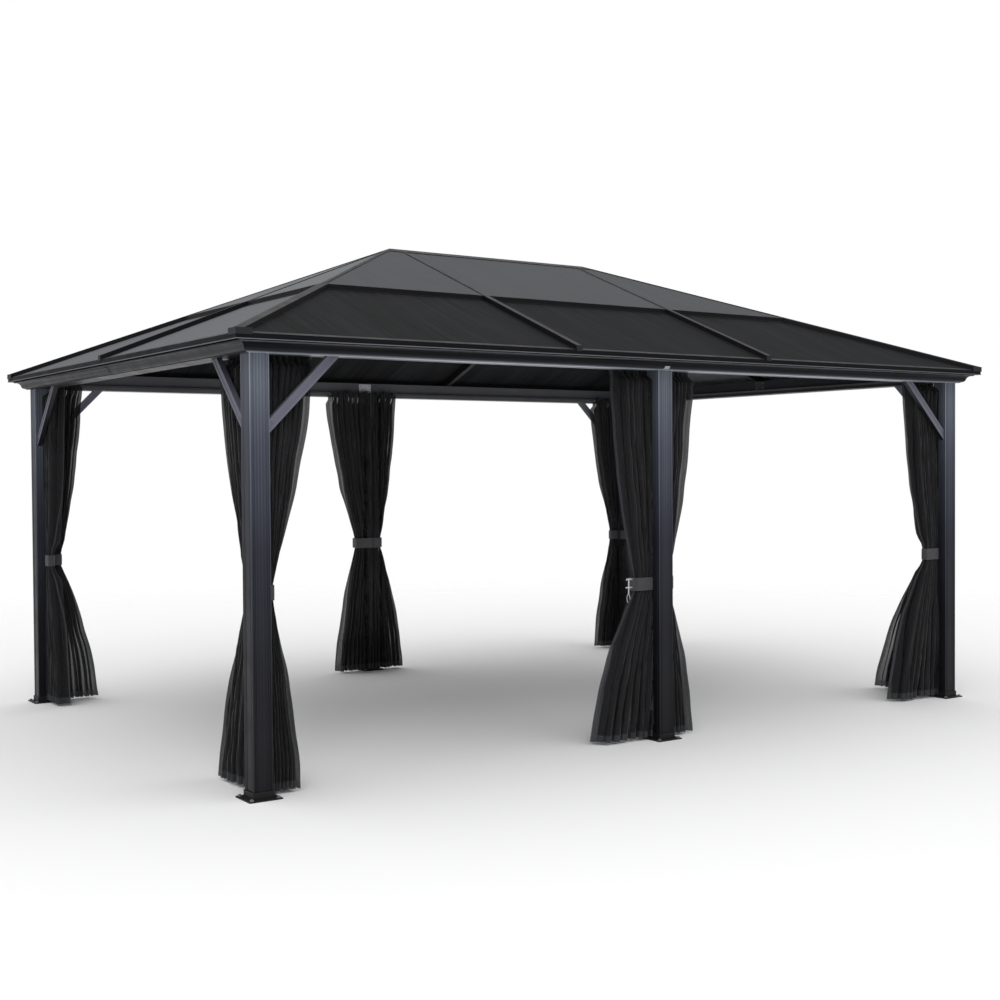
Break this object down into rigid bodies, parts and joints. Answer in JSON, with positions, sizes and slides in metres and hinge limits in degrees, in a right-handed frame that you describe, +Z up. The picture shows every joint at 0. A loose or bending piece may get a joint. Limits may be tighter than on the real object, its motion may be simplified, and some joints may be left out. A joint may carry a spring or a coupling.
{
  "type": "metal gazebo",
  "caption": "Rectangular metal garden gazebo with a two-tier hipped roof of smoked sheets, fluted posts, ogee gutter beams, corner knee braces and gathered net curtains tied at the posts.",
  "frame": {"origin": "on the floor under the middle of the gazebo", "axes": "+X along the long side to the right, +Y to the back, +Z up; the front long side faces -Y"},
  "size_m": [5.4946, 3.8966, 3.0505],
  "materials": {
    "post_slate": "satin powder coat",
    "foot_black": "satin powder coat",
    "beam_charcoal": "satin powder coat",
    "trim_charcoal": "satin powder coat",
    "splice_grey": "matt",
    "brace_grey": "satin powder coat",
    "bar_dark": "matt powder coat",
    "fascia_dark": "satin powder coat",
    "sheet_upper": "smoked twin-wall sheet, satin",
    "sheet_lower": "smoked twin-wall sheet, satin",
    "end_grey": "satin",
    "cap_dark": "satin powder coat",
    "net_black": "open net",
    "band_grey": "webbing",
    "rail_grey": "satin"
  },
  "bodies": {
    "root": {"cap_ends": "end_grey", "curtain_rails": "rail_grey", "curtains_back_left": "net_black", "curtains_back_middle": "net_black", "curtains_back_right": "net_black", "curtains_front_left": "net_black", "curtains_front_middle": "net_black", "curtains_front_right": "net_black", "eave_trim_back": "trim_charcoal", "eave_trim_front": "trim_charcoal", "eave_trim_left": "trim_charcoal", "eave_trim_right": "trim_charcoal", "gutter_beam_back": "beam_charcoal", "gutter_beam_front": "beam_charcoal", "gutter_beam_left": "beam_charcoal", "gutter_beam_right": "beam_charcoal", "hip_bars": "bar_dark", "knee_braces_long_sides": "brace_grey", "knee_braces_short_sides": "brace_grey", "lower_hip_caps": "cap_dark", "lower_rafter_caps": "cap_dark", "post_back_left": "post_slate", "post_back_middle": "post_slate", "post_back_right": "post_slate", "post_feet": "foot_black", "post_front_left": "post_slate", "post_front_middle": "post_slate", "post_front_right": "post_slate", "purlin_fascias": "fascia_dark", "purlins": "bar_dark", "rafter_bars": "bar_dark", "ridge_bar": "bar_dark", "ridge_cap": "cap_dark", "roof_sheets_lower_back": "sheet_lower", "roof_sheets_lower_front": "sheet_lower", "roof_sheets_lower_left": "sheet_lower", "roof_sheets_lower_right": "sheet_lower", "roof_sheets_upper_back": "sheet_upper", "roof_sheets_upper_front": "sheet_upper", "roof_sheets_upper_left": "sheet_upper", "roof_sheets_upper_right": "sheet_upper", "splice_plates": "splice_grey", "tie_bands": "band_grey", "upper_hip_caps": "cap_dark", "upper_rafter_caps": "cap_dark"}
  },
  "joints": []
}
